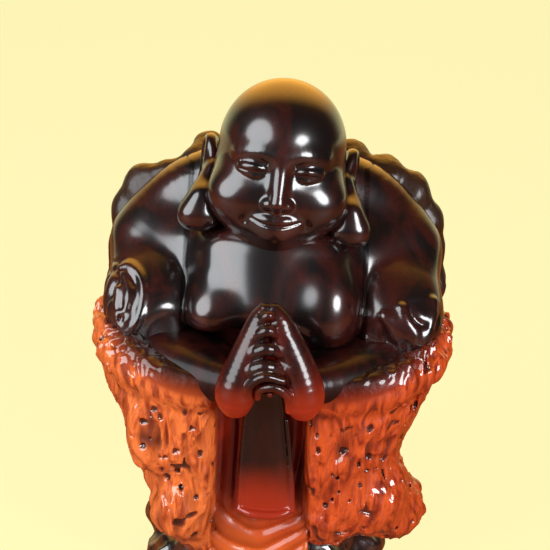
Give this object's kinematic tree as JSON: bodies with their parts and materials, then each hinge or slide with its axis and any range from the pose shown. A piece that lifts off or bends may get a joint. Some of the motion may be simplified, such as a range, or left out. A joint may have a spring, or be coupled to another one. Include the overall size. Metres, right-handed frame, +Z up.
{
  "type": "carved buddha statue",
  "caption": "Standing laughing buddha figure in dark lacquered wood, palms together, long burl sleeves, hanging sash, on a rock base.",
  "frame": {"origin": "on the floor, at the middle of the rock base's flat underside", "axes": "+Z up, the figure looks along -Y, +X to its left hand side and to the viewer's right"},
  "size_m": [0.1988, 0.1578, 0.3],
  "materials": {
    "lacquer": "near-black red-brown gloss lacquer over carved wood",
    "warm_lacquer": "red-brown gloss lacquer over carved wood",
    "burl": "orange-brown burl with dark pits, gloss lacquer",
    "rock": "black-brown gloss lacquer over carved root wood",
    "peg": "bare turned hardwood",
    "screw": "plain brass"
  },
  "bodies": {
    "root": {"head": "lacquer", "torso": "lacquer", "robe": "warm_lacquer", "sash": "warm_lacquer", "base": "rock", "ear_left": "lacquer", "arm_left": "lacquer", "forearm_left": "lacquer", "hand_left": "warm_lacquer", "sleeve_left": "burl", "mantle_left": "burl", "ear_right": "lacquer", "arm_right": "lacquer", "forearm_right": "lacquer", "hand_right": "warm_lacquer", "sleeve_right": "burl", "mantle_right": "burl", "shoulder_peg_upper_left": "peg", "shoulder_peg_upper_right": "peg", "shoulder_peg_lower_left": "peg", "shoulder_peg_lower_right": "peg", "back_peg_upper_left": "peg", "back_peg_upper_right": "peg", "back_peg_lower_left": "peg", "back_peg_lower_right": "peg", "waist_peg_left": "peg", "waist_peg_right": "peg", "robe_peg_upper_left": "peg", "robe_peg_upper_right": "peg", "robe_peg_lower_left": "peg", "robe_peg_lower_right": "peg", "sleeve_peg_left": "peg", "sleeve_peg_right": "peg", "elbow_peg_left": "peg", "elbow_peg_right": "peg", "wrist_peg_left": "peg", "wrist_peg_right": "peg", "ear_peg_left": "peg", "ear_peg_right": "peg", "sash_peg_upper": "peg", "sash_peg_lower": "peg", "base_screw_left": "screw", "base_screw_right": "screw"}
  },
  "joints": []
}
